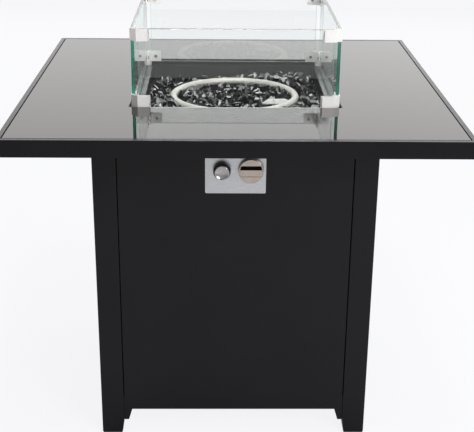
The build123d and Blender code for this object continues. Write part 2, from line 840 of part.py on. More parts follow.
# Gas knob: a round skirt with a bar grip across it that narrows to the front
with BuildPart() as gas_knob:
    with BuildSketch(Plane.XZ.offset(knob_back)):
        with Locations((knob_x, control_height)):
            Circle(knob_radius)
    with BuildSketch(Plane.XZ.offset(knob_back + knob_skirt_depth)):
        with Locations((knob_x, control_height)):
            Circle(knob_front_radius)
    loft()
    fillet(gas_knob.edges().group_by(Axis.Y)[0], knob_edge_radius)
    with BuildSketch(Plane.XZ.offset(knob_back + knob_skirt_depth)):
        with Locations((knob_x, control_height)):
            Circle(knob_front_radius - knob_grip_inset)
            Rectangle(2 * knob_front_radius, knob_grip_base, mode=Mode.INTERSECT)
    with BuildSketch(Plane.XZ.offset(knob_back + knob_skirt_depth + knob_grip_depth)):
        with Locations((knob_x, control_height)):
            Circle(knob_front_radius - knob_grip_inset)
            Rectangle(2 * knob_front_radius, knob_grip_width, mode=Mode.INTERSECT)
    loft()
    fillet(gas_knob.edges().group_by(Axis.Y)[0], knob_edge_radius)
    with BuildSketch(Plane.XZ.offset(knob_back)):
        with Locations((knob_x, control_height)):
            Circle(stem_radius + fit_clearance)
    extrude(amount=knob_bore_depth, mode=Mode.SUBTRACT)
write(gas_knob.part, "gas_knob")

# Igniter: bezel on the plate, barrel through it, nut behind the panel
with BuildPart() as igniter_bezel:
    with BuildSketch(Plane.XZ.offset(plate_face)):
        with Locations((igniter_x, control_height)):
            Circle(bezel_radius)
            Circle(barrel_radius + barrel_hole_clearance, mode=Mode.SUBTRACT)
    extrude(amount=bezel_depth)
    with BuildSketch(Plane.XZ.offset(plate_face + bezel_floor)):
        with Locations((igniter_x, control_height)):
            Circle(button_radius + button_clearance)
    extrude(amount=bezel_depth - bezel_floor, mode=Mode.SUBTRACT)
write(igniter_bezel.part, "igniter_bezel")

flange_seat = plate_face + bezel_floor
flange_front = flange_seat + barrel_flange
button_back = flange_front + button_travel + button_rest_gap
plunger_end = flange_front - plunger_overlap
barrel_back = flange_seat - barrel_length
with BuildPart() as igniter_barrel:
    with BuildSketch(Plane.XZ.offset(barrel_back)):
        with Locations((igniter_x, control_height)):
            Circle(barrel_radius)
    extrude(amount=barrel_length)
    with BuildSketch(Plane.XZ.offset(flange_seat)):
        with Locations((igniter_x, control_height)):
            Circle(barrel_flange_radius)
    extrude(amount=barrel_flange)
    with BuildSketch(Plane.XZ.offset(plunger_end - button_travel - button_wall)):
        with Locations((igniter_x, control_height)):
            Circle(plunger_radius + fit_clearance)
    extrude(amount=plunger_overlap + button_travel + button_wall, mode=Mode.SUBTRACT)
write(igniter_barrel.part, "igniter_barrel")

with BuildPart() as igniter_nut:
    with BuildSketch(Plane.XZ.offset(panel_back - barrel_nut_height)):
        with Locations((igniter_x, control_height)):
            RegularPolygon(barrel_nut_width / 2, 6, major_radius=False)
            Circle(barrel_radius + fit_clearance, mode=Mode.SUBTRACT)
    extrude(amount=barrel_nut_height)
write(igniter_nut.part, "igniter_nut")

with BuildPart() as igniter_button:
    with BuildSketch(Plane.XZ.offset(button_back)):
        with Locations((igniter_x, control_height)):
            Circle(button_radius)
    extrude(amount=button_length)
    fillet(igniter_button.edges().group_by(Axis.Y)[0], button_edge_radius)
    with BuildSketch(Plane.XZ.offset(button_back)):
        with Locations((igniter_x, control_height)):
            Circle(button_radius - button_wall)
    extrude(amount=button_length - 2 * button_wall, mode=Mode.SUBTRACT)
    with BuildSketch(Plane.XZ.offset(plunger_end)):
        with Locations((igniter_x, control_height)):
            Circle(plunger_radius)
    extrude(amount=button_back + button_length - button_wall - plunger_end)
write(igniter_button.part, "igniter_button")

# Spark lead from the igniter to the electrode
lead_height = ceramic_bottom - lead_rise
with BuildPart() as spark_lead:
    with BuildLine():
        FilletPolyline(
            (igniter_x, -barrel_back, control_height),
            (igniter_x, -barrel_back + lead_first_run, control_height),
            (lead_elbow_x, lead_elbow_y, lead_height),
            (electrode_x, electrode_y, lead_height),
            (electrode_x, electrode_y, ceramic_bottom),
            radius=lead_bend,
        )
    with BuildSketch(Plane(origin=(igniter_x, -barrel_back, control_height), z_dir=(0, 1, 0))):
        Circle(lead_radius)
    sweep()
write(spark_lead.part, "spark_lead")

# Rear door: a shallow folded pan that closes flush between the rear legs
door_height = door_top - door_bottom
door_mid = (door_top + door_bottom) / 2
with BuildPart() as rear_door:
    with BuildSketch(Plane.XZ.offset(-panel_face)):
        with Locations((0, door_mid)):
            Rectangle(2 * panel_half, door_height)
    extrude(amount=door_depth)
    with BuildSketch(Plane.XZ.offset(-panel_back)):
        with Locations((0, door_mid)):
            Rectangle(2 * (panel_half - panel_sheet), door_height - 2 * panel_sheet)
    extrude(amount=door_depth, mode=Mode.SUBTRACT)
write(rear_door.part, "rear_door")

with BuildPart() as door_pull:
    with BuildSketch(Plane.XZ.offset(-panel_face)):
        with Locations((-panel_half + pull_from_edge, door_mid)):
            Circle(pull_neck_radius)
    extrude(amount=-pull_neck_length)
    with BuildSketch(Plane.XZ.offset(-panel_face - pull_neck_length)):
        with Locations((-panel_half + pull_from_edge, door_mid)):
            Circle(pull_radius)
    extrude(amount=-pull_head_length)
    fillet(door_pull.edges().group_by(Axis.Y)[-1], pull_edge_radius)
write(door_pull.part, "door_pull")

# Butt hinges: leaves on the leg and on the door, with interleaved knuckles on loose pins
hinge_x = panel_half + panel_groove / 2
hinge_y = half_base + hinge_knuckle_radius
hinge_lows = (door_bottom + hinge_from_end, door_top - hinge_from_end - hinge_height)
segment = hinge_height / 3
knuckle_bore = hinge_pin_radius + fit_clearance
with BuildPart() as leg_leaves:
    for low in hinge_lows:
        with BuildSketch(Plane.XY.offset(low)):
            with Locations((leg_inner + hinge_leaf / 2, half_base + hinge_sheet / 2)):
                Rectangle(hinge_leaf, hinge_sheet)
        extrude(amount=hinge_height)
        with BuildSketch(Plane.XY.offset(low)):
            with Locations((hinge_x, hinge_y)):
                Circle(hinge_knuckle_radius)
        extrude(amount=hinge_height)
        with BuildSketch(Plane.XY.offset(low + segment)):
            with Locations((hinge_x, hinge_y)):
                Rectangle(4 * hinge_knuckle_radius, 2 * hinge_knuckle_radius)
        extrude(amount=segment, mode=Mode.SUBTRACT)
        with BuildSketch(Plane.XY.offset(low)):
            with Locations((hinge_x, hinge_y)):
                Circle(knuckle_bore)
        extrude(amount=hinge_height, mode=Mode.SUBTRACT)
write(leg_leaves.part, "hinge_leaves_leg")

web_x = hinge_x - hinge_knuckle_radius + hinge_sheet / 2
with BuildPart() as door_leaves:
    for low in hinge_lows:
        with BuildSketch(Plane.XY.offset(low)):
            with Locations((panel_half - panel_groove - hinge_leaf / 2, panel_face + hinge_sheet / 2)):
                Rectangle(hinge_leaf, hinge_sheet)
        extrude(amount=hinge_height)
        with BuildSketch(Plane.XY.offset(low + segment + hinge_segment_gap)):
            with Locations((web_x, (panel_face + hinge_y) / 2)):
                Rectangle(hinge_sheet, hinge_y - panel_face)
            with Locations((hinge_x, hinge_y)):
                Circle(hinge_knuckle_radius)
                Circle(knuckle_bore, mode=Mode.SUBTRACT)
        extrude(amount=segment - 2 * hinge_segment_gap)
write(door_leaves.part, "hinge_leaves_door")

with BuildPart() as hinge_pins:
    for low in hinge_lows:
        with BuildSketch(Plane.XY.offset(low)):
            with Locations((hinge_x, hinge_y)):
                Circle(hinge_pin_radius)
        extrude(amount=hinge_height)
        with BuildSketch(Plane.XY.offset(low + hinge_height)):
            with Locations((hinge_x, hinge_y)):
                Circle(hinge_pin_head_radius)
        extrude(amount=hinge_pin_head)
write(hinge_pins.part, "hinge_pins")

# Magnet catch on the rear left leg and the strike plate on the door's edge
strike_back = panel_face - door_depth
catch_front = strike_back - catch_gap
with BuildPart() as magnet_catch:
    with BuildSketch(Plane.XY.offset(door_mid - catch_height / 2)):
        with Locations((-leg_inner + catch_width / 2, catch_front - catch_depth / 2)):
            Rectangle(catch_width, catch_depth)
    extrude(amount=catch_height)
write(magnet_catch.part, "magnet_catch")

with BuildPart() as catch_strike:
    with BuildSketch(Plane.XY.offset(door_mid - catch_height / 2)):
        with Locations((-panel_half + panel_sheet + catch_width / 2, strike_back + strike_sheet / 2)):
            Rectangle(catch_width, strike_sheet)
    extrude(amount=catch_height)
write(catch_strike.part, "catch_strike")

# Wind guard: four panes with open corners, held by folded clips at the top and the bottom
sheet_inner = guard_half - clip_sheet
pane_outer = sheet_inner - pane_side_gap
pane_inner = pane_outer - pane_thickness
plate_outer = pane_inner - pane_side_gap
plate_inner = plate_outer - clip_sheet
web_outer = guard_half - clip_facet - clip_sheet
web_inner = web_outer - clip_sheet
pane_half = web_inner - pane_clearance
facet_inner = guard_half - clip_facet - clip_sheet * (sqrt(2) - 1)
plate_end = guard_half - clip_facet - clip_plate
with BuildPart() as guard_pane:
    with BuildSketch(Plane.XZ.offset(pane_inner)):
        with Locations((0, guard_bottom + guard_height / 2)):
            Rectangle(2 * pane_half, guard_height)
    extrude(amount=pane_thickness)
    chamfer(guard_pane.edges(), pane_edge)

for side, turn in (("front", 0), ("right", 90), ("back", 180), ("left", 270)):
    write(guard_pane.part.rotate(Axis.Z, turn), f"guard_pane_{side}")

# Plan of one clip at the rear right corner: outer sheet with its slanted facet, webs and inner plates
with BuildSketch() as clip_feet:
    with Locations((web_inner + clip_sheet / 2, (plate_inner - clip_fin + sheet_inner) / 2)):
        Rectangle(clip_sheet, sheet_inner - plate_inner + clip_fin)
    with Locations(((plate_inner - clip_fin + sheet_inner) / 2, web_inner + clip_sheet / 2)):
        Rectangle(sheet_inner - plate_inner + clip_fin, clip_sheet)

with BuildSketch() as clip_plan:
    with BuildLine():
        Polyline(
            (plate_end, guard_half),
            (guard_half - clip_facet, guard_half),
            (guard_half, guard_half - clip_facet),
            (guard_half, plate_end),
            (sheet_inner, plate_end),
            (sheet_inner, facet_inner),
            (facet_inner, sheet_inner),
            (plate_end, sheet_inner),
            close=True,
        )
    make_face()
    add(clip_feet.sketch)
    with Locations((web_outer - clip_inner_plate / 2, (plate_inner + plate_outer) / 2)):
        Rectangle(clip_inner_plate, clip_sheet)
    with Locations(((plate_inner + plate_outer) / 2, web_outer - clip_inner_plate / 2)):
        Rectangle(clip_sheet, clip_inner_plate)

screw_along = web_outer - clip_inner_plate / 2
lower_screw = guard_bottom + clip_height / 2
upper_screw = guard_top - clip_height / 2


def guard_clip(low):
    """One clip from its plan, with the holes for its two clamping screws."""
    with BuildPart() as clip:
        with BuildSketch(Plane.XY.offset(low)):
            add(clip_plan.sketch)
        extrude(amount=clip_height)
        with BuildSketch(Plane.XZ.offset(-plate_outer)):
            with Locations((screw_along, low + clip_height / 2)):
                Circle(screw_radius)
        extrude(amount=clip_sheet, mode=Mode.SUBTRACT)
        with BuildSketch(Plane.YZ.offset(plate_inner)):
            with Locations((screw_along, low + clip_height / 2)):
                Circle(screw_radius)
        extrude(amount=clip_sheet, mode=Mode.SUBTRACT)
    return clip.part


with BuildPart() as lower_clip:
    add(guard_clip(guard_bottom))
    with BuildSketch(Plane.XY.offset(flange_top)):
        add(clip_feet.sketch)
    extrude(amount=guard_lift)
write(around(lower_clip.part), "guard_clips_lower")

with BuildPart() as upper_clip:
    add(guard_clip(guard_top - clip_height))
write(around(upper_clip.part), "guard_clips_upper")

# Clamping screws, two to a clip, whose ends press on the panes
with BuildPart() as corner_screws:
    for level in (lower_screw, upper_screw):
        with BuildSketch(Plane.XZ.offset(-pane_inner)):
            with Locations((screw_along, level)):
                Circle(screw_radius - fit_clearance)
        extrude(amount=clip_sheet + pane_side_gap)
        with BuildSketch(Plane.XZ.offset(-plate_inner)):
            with Locations((screw_along, level)):
                RegularPolygon(screw_head_radius, 6)
        extrude(amount=screw_head)
        with BuildSketch(Plane.YZ.offset(plate_inner)):
            with Locations((screw_along, level)):
                Circle(screw_radius - fit_clearance)
        extrude(amount=clip_sheet + pane_side_gap)
        with BuildSketch(Plane.YZ.offset(plate_inner - screw_head)):
            with Locations((screw_along, level)):
                RegularPolygon(screw_head_radius, 6)
        extrude(amount=screw_head)
write(around(corner_screws.part), "guard_screws")
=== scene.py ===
import json
import random
from math import hypot, pi, radians, sqrt

import bpy
from mathutils import Euler, Matrix, Vector
from mathutils.bvhtree import BVHTree


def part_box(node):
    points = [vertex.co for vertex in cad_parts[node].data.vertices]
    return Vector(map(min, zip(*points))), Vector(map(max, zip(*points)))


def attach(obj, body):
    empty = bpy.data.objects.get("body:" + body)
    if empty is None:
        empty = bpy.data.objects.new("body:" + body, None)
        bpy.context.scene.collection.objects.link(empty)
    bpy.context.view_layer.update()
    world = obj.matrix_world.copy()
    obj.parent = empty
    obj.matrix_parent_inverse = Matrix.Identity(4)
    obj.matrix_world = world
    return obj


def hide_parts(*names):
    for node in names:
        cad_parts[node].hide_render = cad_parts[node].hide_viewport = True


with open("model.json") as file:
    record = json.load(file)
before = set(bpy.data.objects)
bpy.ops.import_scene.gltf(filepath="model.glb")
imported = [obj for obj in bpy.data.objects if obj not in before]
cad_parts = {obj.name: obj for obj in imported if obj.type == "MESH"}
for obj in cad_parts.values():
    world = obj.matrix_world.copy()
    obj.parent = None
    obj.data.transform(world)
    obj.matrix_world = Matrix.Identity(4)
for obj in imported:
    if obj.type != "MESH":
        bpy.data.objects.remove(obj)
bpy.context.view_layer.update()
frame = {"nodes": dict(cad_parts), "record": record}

# Counter-height gas fire pit table, in metres. X is to the right, Y to the rear and Z up from the
# floor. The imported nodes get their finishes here, and the loose rocks and the igniter's button
# are modelled here.
nodes = frame["nodes"]

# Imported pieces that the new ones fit
bed_low, bed_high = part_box("lava_rock_bed")
ring_low, ring_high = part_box("burner_ring")
tube_radius = (ring_high.z - ring_low.z) / 2
ring_radius = ring_high.x - tube_radius
ring_height = ring_low.z + tube_radius
plate_low, plate_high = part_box("electrode_bracket")
button_low, button_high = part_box("igniter_button")
button_x = (button_low.x + button_high.x) / 2
button_z = (button_low.z + button_high.z) / 2
button_radius = (button_high.x - button_low.x) / 2

# Camera, solved from the photograph's 474 x 432 pixels
photo_width = 474
focal_pixels = 1050.32
sensor_width = 36.0
camera_place = Vector((-0.03933, -2.73583, 1.56319))
camera_tilt = radians(21.5415)
camera_turn = radians(1.0463)
camera_roll = radians(0.5728)

# Studio
background_white = (0.957, 0.957, 0.973, 1.0)
studio_grey = (0.80, 0.80, 0.80, 1.0)
studio_level = 0.90
studio_slope = (0.58, 0.10, 0.0)
ambient_strength = 0.80
floor_size = 60.0
floor_shade = (0.80, 0.80, 0.81, 1.0)
floor_roughness = 0.9
floor_glow = (0.985, 0.985, 1.0, 1.0)
floor_lift = 0.88
floor_gloss_lift = 0.25

# Soft boxes, with their power in watts
soft_boxes = {
    "rear_soft_box": dict(
        place=(0.3, 4.5, 3.0), aim=(0.0, 0.0, 1.0), width=12.0, height=5.0, power=132.0
    ),
    "top_soft_box": dict(
        place=(0.1, -0.8, 3.3), aim=(0.0, 0.0, 0.85), width=0.7, height=0.7, power=33.0
    ),
    "front_soft_box": dict(
        place=(1.6, -2.6, 2.0), aim=(0.0, 0.0, 0.9), width=1.4, height=1.4, power=56.0
    ),
}

# The part of a pattern's range in which a finish goes from its first value to its second
pattern_start = 0.30
pattern_end = 0.70

# Guard glass
pane_face_tint = (0.99, 1.0, 0.995)
pane_end_tint = (0.13, 0.78, 0.60)
pane_end_roughness = 0.45
pane_depth_tint = (0.10, 0.70, 0.55, 1.0)
pane_depth = 2.2

# How far the roughness of brushed metal and of plastic strays from its middle value
brush_smoother = 0.05
brush_rougher = 0.06
plastic_spread = 0.06

# Shapes of the rocks: how many there are, and their knocks, cuts and stretch as shares of a
# radius of 1
rock_seed = 23
rock_shapes = 16
rock_knock = 0.32
rock_knock_evenness = 0.25
rock_cuts = 7
rock_cut_least = 0.42
rock_cut_most = 0.80
rock_merge = 0.03
rock_width_least = 0.45
rock_width_most = 0.78
rock_thickness_least = 0.34
rock_thickness_most = 0.58

# How the rocks are dropped: their radius, how near they lie, how high over the bed they rest in
# radii, and how few of their facets carry a painted highlight
rock_tries = 7000
rock_radius_least = 0.0150
rock_radius_most = 0.0320
rock_crowding = 0.47
rock_rest = 0.30
rock_glint_rarity = 3.3

# Heights that the rocks stay under
rock_roof = 0.846
inner_roof = 0.843
plate_roof = 0.833
heap_roof = 0.849
dip_roof = 0.833

# Where the rear heap starts, how far right the dip in it runs, how far before the electrode's
# plate the rocks lie low, and how far under a rock that plate is looked for
rear_from = 0.10
dip_right = 0.00
plate_view = 0.060
plate_drop = 0.03

# Rear ports of the ring that stay in sight: their span, the slope of the rocks before them, and how
# far under the middle of the tube that slope starts
port_left = -0.095
port_right = 0.070
port_sight = 0.28
port_cover = 0.002

# Igniter button
button_depth = 0.0150
cap_skirt = 0.0058
cap_rim = 0.0020
cap_rim_steps = 5
cap_dish = 0.0030
cap_dish_ring = 0.0020
cap_dish_shares = (0.36, 0.26, 0.18, 0.12, 0.08)
sleeve_step = 0.0006
sleeve_edge_steps = 3
turned_sides = 96
front_facing = 0.9
flat_facing = 0.999
smooth_angle = radians(32)


def edit_mode():
    bpy.ops.object.mode_set(mode="EDIT")


def object_mode():
    bpy.ops.object.mode_set(mode="OBJECT")


def select_front(piece, facing):
    """Selects the faces that look to the front by more than this share, and stays in edit mode."""
    edit_mode()
    bpy.ops.mesh.select_mode(type="FACE")
    bpy.ops.mesh.select_all(action="DESELECT")
    object_mode()
    for face in piece.data.polygons:
        face.select = face.normal.y < -facing
    edit_mode()


def finish_piece(piece, finish, body, slot, *stands_for):
    piece.data.materials.clear()
    piece.data.materials.append(finish)
    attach(piece, body)
    if stands_for:
        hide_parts(*stands_for)


# Finishes


def new_finish(name, **sockets):
    """A material whose shader has these sockets set, their underscores read as spaces."""
    finish = bpy.data.materials.new(name)
    finish.use_nodes = True
    shader = finish.node_tree.nodes["Principled BSDF"]
    for socket, value in sockets.items():
        shader.inputs[socket.replace("_", " ")].default_value = value
    return finish, finish.node_tree, shader


def reckon(tree, operation, first, second=0.0):
    """The result of a Math node whose two inputs are sockets or plain numbers."""
    node = tree.nodes.new("ShaderNodeMath")
    node.operation = operation
    for socket, value in zip(node.inputs, (first, second)):
        if isinstance(value, float):
            socket.default_value = value
        else:
            tree.links.new(value, socket)
    return node.outputs["Value"]


def grain(tree, scale, detail=2.0, stretch=(1.0, 1.0, 1.0)):
    """A noise pattern in the piece's own metres, drawn out where stretch is small."""
    place = tree.nodes.new("ShaderNodeTexCoord")
    mapping = tree.nodes.new("ShaderNodeMapping")
    mapping.inputs["Scale"].default_value = stretch
    noise = tree.nodes.new("ShaderNodeTexNoise")
    noise.inputs["Scale"].default_value = scale
    noise.inputs["Detail"].default_value = detail
    tree.links.new(place.outputs["Object"], mapping.inputs["Vector"])
    tree.links.new(mapping.outputs["Vector"], noise.inputs["Vector"])
    return noise.outputs["Fac"]


def colour(tree, shader, pattern, dark, light):
    """Takes the shader's colour from dark to light by a pattern."""
    ramp = tree.nodes.new("ShaderNodeValToRGB")
    first, last = ramp.color_ramp.elements
    first.position = pattern_start
    first.color = (*dark, 1.0)
    last.position = pattern_end
    last.color = (*light, 1.0)
    tree.links.new(pattern, ramp.inputs["Fac"])
    tree.links.new(ramp.outputs["Color"], shader.inputs["Base Color"])


def roughen(tree, shader, pattern, least, most):
    """Takes the shader's roughness from least to most by a pattern."""
    spread = tree.nodes.new("ShaderNodeMapRange")
    spread.inputs["From Min"].default_value = pattern_start
    spread.inputs["From Max"].default_value = pattern_end
    spread.inputs["To Min"].default_value = least
    spread.inputs["To Max"].default_value = most
    tree.links.new(pattern, spread.inputs["Value"])
    tree.links.new(spread.outputs["Result"], shader.inputs["Roughness"])


def relief(tree, shader, pattern, height, strength=1.0):
    """Raises the surface by a pattern, in shading alone."""
    bump = tree.nodes.new("ShaderNodeBump")
    bump.inputs["Distance"].default_value = height
    bump.inputs["Strength"].default_value = strength
    tree.links.new(pattern, bump.inputs["Height"])
    tree.links.new(bump.outputs["Normal"], shader.inputs["Normal"])


def charcoal_powder_coat():
    finish, tree, shader = new_finish(
        "charcoal_powder_coat", Specular_IOR_Level=0.155, Coat_Weight=0.11
    )
    clouds = grain(tree, scale=6.0, detail=3.0)
    colour(tree, shader, clouds, dark=(0.0014, 0.0014, 0.0026), light=(0.0028, 0.0028, 0.0044))
    roughen(tree, shader, grain(tree, scale=40.0), least=0.16, most=0.26)
    relief(tree, shader, grain(tree, scale=1600.0), height=0.00002)
    return finish


def dark_table_glass():
    """Dark glass with a slightly warm gloss."""
    finish, tree, shader = new_finish(
        "dark_table_glass", IOR=1.60, Specular_Tint=(1.0, 0.92, 0.86, 1.0)
    )
    clouds = grain(tree, scale=3.0)
    colour(tree, shader, clouds, dark=(0.0050, 0.0040, 0.0036), light=(0.0075, 0.0060, 0.0055))
    roughen(tree, shader, grain(tree, scale=9.0, detail=4.0), least=0.008, most=0.022)
    return finish


def clear_guard_glass(name, end_axis):
    """Clear pane whose cut ends, which face along the end axis, are ground and a deep green."""
    finish, tree, shader = new_finish(name, Transmission_Weight=1.0, IOR=1.5)
    place = tree.nodes.new("ShaderNodeTexCoord")
    facing = tree.nodes.new("ShaderNodeSeparateXYZ")
    tree.links.new(place.outputs["Normal"], facing.inputs["Vector"])
    end = reckon(tree, "ABSOLUTE", facing.outputs[end_axis])
    colour(tree, shader, end, dark=pane_face_tint, light=pane_end_tint)
    roughen(tree, shader, end, least=0.0, most=pane_end_roughness)
    depth = tree.nodes.new("ShaderNodeVolumeAbsorption")
    depth.inputs["Color"].default_value = pane_depth_tint
    depth.inputs["Density"].default_value = pane_depth
    tree.links.new(depth.outputs["Volume"], tree.nodes["Material Output"].inputs["Volume"])
    return finish


def brushed_metal(name, dark, light, rough, stretch=(1.0, 1.0, 1.0), metallic=1.0):
    """A metal with fine scratches drawn out along the axis where stretch is small."""
    finish, tree, shader = new_finish(name, Metallic=metallic)
    scratches = grain(tree, scale=900.0, stretch=stretch)
    streaks = grain(tree, scale=300.0, stretch=stretch)
    colour(tree, shader, scratches, dark, light)
    roughen(tree, shader, streaks, least=rough - brush_smoother, most=rough + brush_rougher)
    relief(tree, shader, scratches, height=0.00002)
    return finish


def satin_stainless():
    return brushed_metal(
        "satin_stainless", dark=(0.86, 0.85, 0.83), light=(0.93, 0.92, 0.90), rough=0.38,
        stretch=(1.0, 1.0, 0.08), metallic=0.3,
    )


def screw_steel():
    return brushed_metal(
        "screw_steel", dark=(0.22, 0.22, 0.22), light=(0.34, 0.34, 0.34), rough=0.34, metallic=0.8
    )


def control_plate_steel():
    return brushed_metal(
        "control_plate_steel", dark=(0.43, 0.44, 0.455), light=(0.53, 0.54, 0.555), rough=0.34,
        stretch=(0.05, 1.0, 1.0),
    )


def zinc_steel():
    return brushed_metal(
        "zinc_steel", dark=(0.50, 0.51, 0.52), light=(0.62, 0.63, 0.64), rough=0.42
    )


def brass():
    return brushed_metal("brass", dark=(0.62, 0.46, 0.20), light=(0.74, 0.58, 0.30), rough=0.30)


def matt_steel(name, dark, light):
    """Steel of the burner, dulled by heat."""
    finish, tree, shader = new_finish(name, Metallic=0.2, Specular_IOR_Level=0.4)
    colour(tree, shader, grain(tree, scale=22.0, detail=4.0), dark, light)
    roughen(tree, shader, grain(tree, scale=120.0, detail=3.0), least=0.34, most=0.52)
    relief(tree, shader, grain(tree, scale=900.0), height=0.00003)
    return finish


def burner_stainless():
    return matt_steel("burner_stainless", dark=(0.62, 0.59, 0.53), light=(0.72, 0.71, 0.67))


def bare_plate_steel():
    return matt_steel("bare_plate_steel", dark=(0.50, 0.49, 0.46), light=(0.66, 0.65, 0.62))


def polished_chrome(name, dark, light):
    finish, tree, shader = new_finish(name, Metallic=1.0)
    colour(tree, shader, grain(tree, scale=60.0), dark, light)
    roughen(tree, shader, grain(tree, scale=90.0, detail=3.0), least=0.03, most=0.08)
    return finish


def chrome():
    return polished_chrome("chrome", dark=(0.350, 0.302, 0.262), light=(0.400, 0.352, 0.312))


def cap_chrome():
    return polished_chrome("cap_chrome", dark=(0.335, 0.316, 0.318), light=(0.385, 0.366, 0.368))


def moulded_plastic(name, dark, light, rough):
    finish, tree, shader = new_finish(name, Specular_IOR_Level=0.3)
    specks = grain(tree, scale=220.0)
    colour(tree, shader, grain(tree, scale=30.0), dark, light)
    roughen(tree, shader, specks, least=rough - plastic_spread, most=rough + plastic_spread)
    relief(tree, shader, grain(tree, scale=2200.0), height=0.00004)
    return finish


def black_plastic():
    return moulded_plastic(
        "black_plastic", dark=(0.010, 0.010, 0.011), light=(0.018, 0.018, 0.019), rough=0.45
    )


def seal_foam():
    return moulded_plastic(
        "seal_foam", dark=(0.008, 0.008, 0.008), light=(0.016, 0.016, 0.016), rough=0.8
    )


def lead_insulation():
    return moulded_plastic(
        "lead_insulation", dark=(0.012, 0.012, 0.012), light=(0.024, 0.024, 0.024), rough=0.6
    )


def black_enamel():
    finish, tree, shader = new_finish("black_enamel", Specular_IOR_Level=0.45)
    clouds = grain(tree, scale=7.0, detail=3.0)
    colour(tree, shader, clouds, dark=(0.014, 0.014, 0.015), light=(0.026, 0.026, 0.028))
    roughen(tree, shader, grain(tree, scale=25.0, detail=3.0), least=0.18, most=0.26)
    relief(tree, shader, grain(tree, scale=500.0), height=0.00001)
    return finish


def lava_rock():
    """Glassy black rock, each facet with its own random shade, the light shades being painted
    highlights.
    """
    finish, tree, shader = new_finish("lava_rock", IOR=1.28)
    facet = tree.nodes.new("ShaderNodeAttribute")
    facet.attribute_name = "facet_tone_and_painted_glint"
    shade = facet.outputs["Fac"]
    # The light end of this colour is a painted highlight on the facets that draw it; the darker
    # shades are the rock's own random tone.
    colour(tree, shader, shade, dark=(0.001, 0.001, 0.002), light=(0.500, 0.495, 0.495))
    roughen(tree, shader, grain(tree, scale=60.0), least=0.06, most=0.22)
    relief(tree, shader, grain(tree, scale=300.0, detail=3.0), height=0.0003, strength=0.15)
    return finish


def lava_gravel():
    """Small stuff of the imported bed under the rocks."""
    finish, tree, shader = new_finish("lava_gravel", Specular_IOR_Level=0.3)
    crumbs = grain(tree, scale=120.0, detail=3.0)
    colour(tree, shader, crumbs, dark=(0.003, 0.003, 0.004), light=(0.030, 0.030, 0.032))
    roughen(tree, shader, grain(tree, scale=60.0), least=0.35, most=0.60)
    relief(tree, shader, grain(tree, scale=260.0, detail=4.0), height=0.0010, strength=0.60)
    return finish


def white_ceramic():
    finish, tree, shader = new_finish("white_ceramic", Specular_IOR_Level=0.5)
    clouds = grain(tree, scale=120.0)
    colour(tree, shader, clouds, dark=(0.72, 0.70, 0.64), light=(0.82, 0.80, 0.75))
    roughen(tree, shader, grain(tree, scale=300.0), least=0.18, most=0.28)
    return finish


def dress_nodes():
    """Gives each node the finish of its slot in the record, and returns the finishes by slot."""
    finishes = {
        "charcoal_powder_coat": charcoal_powder_coat(),
        "dark_table_glass": dark_table_glass(),
        "clear_guard_glass": clear_guard_glass("clear_guard_glass", "X"),
        "satin_stainless": satin_stainless(),
        "control_plate_steel": control_plate_steel(),
        "burner_stainless": burner_stainless(),
        "chrome": chrome(),
        "black_plastic": black_plastic(),
        "seal_foam": seal_foam(),
        "black_enamel": black_enamel(),
        "lava_rock": lava_rock(),
        "brass": brass(),
        "zinc_steel": zinc_steel(),
        "white_ceramic": white_ceramic(),
        "lead_insulation": lead_insulation(),
    }
    for part in frame["record"]["subparts"]:
        materials = nodes[part["node"]].data.materials
        materials.clear()
        materials.append(finishes[part["material_slot"]])
    side_glass = clear_guard_glass("clear_guard_side_glass", "Y")
    own_finishes = {
        "guard_pane_left": side_glass,
        "guard_pane_right": side_glass,
        "guard_screws": screw_steel(),
        "lava_rock_bed": lava_gravel(),
        "electrode_bracket": bare_plate_steel(),
    }
    for name, finish in own_finishes.items():
        nodes[name].data.materials[0] = finish
    return finishes


# Rocks


def rock_shape(number, chance):
    """One broken shard of about unit radius: a knocked icosphere with flat faces cut off it."""
    bpy.ops.mesh.primitive_ico_sphere_add(subdivisions=1, radius=1.0)
    rock = bpy.context.object
    rock.name = f"rock_shape_{number}"
    edit_mode()
    bpy.ops.mesh.select_all(action="SELECT")
    bpy.ops.transform.vertex_random(
        offset=rock_knock, uniform=rock_knock_evenness, normal=0.0, seed=number
    )
    bpy.ops.mesh.convex_hull()
    for cut in range(rock_cuts):
        bpy.ops.mesh.select_all(action="SELECT")
        normal = Vector([chance.gauss(0, 1) for axis in range(3)]).normalized()
        depth = chance.uniform(rock_cut_least, rock_cut_most)
        bpy.ops.mesh.bisect(
            plane_co=normal * depth, plane_no=normal, use_fill=True, clear_outer=True
        )
    bpy.ops.mesh.select_all(action="SELECT")
    bpy.ops.mesh.remove_doubles(threshold=rock_merge)
    bpy.ops.mesh.normals_make_consistent(inside=False)
    object_mode()
    return rock


def solid_tree(*names):
    """A search tree over the faces of these nodes."""
    points = []
    faces = []
    for name in names:
        mesh = nodes[name].data
        first = len(points)
        points += [corner.co for corner in mesh.vertices]
        faces += [[first + corner for corner in face.vertices] for face in mesh.polygons]
    return BVHTree.FromPolygons(points, faces)


def roof_at(x, y):
    """How high the rocks may reach at a place: lower in the ring, before its rear ports and the
    electrode's plate, and at the rear left."""
    if plate_low.x < x < plate_high.x and plate_low.y - plate_view < y < plate_high.y:
        return plate_roof
    if hypot(x, y) < ring_radius:
        if port_left < x < port_right:
            before_ports = sqrt((ring_radius - tube_radius) ** 2 - x * x) - y
            return min(inner_roof, ring_height - port_cover + port_sight * before_ports)
        return inner_roof
    if y > rear_from:
        return dip_roof if x < dip_right else heap_roof
    return rock_roof


def resting_height(x, y, radius, placed):
    """The height at which a rock comes to rest on the bed or on the rocks that lie there."""
    height = bed_high.z + rock_rest * radius
    for other, size in placed:
        reach = rock_crowding * (radius + size)
        apart = (x - other.x) ** 2 + (y - other.y) ** 2
        if apart < reach * reach:
            height = max(height, other.z + sqrt(reach * reach - apart))
    return height


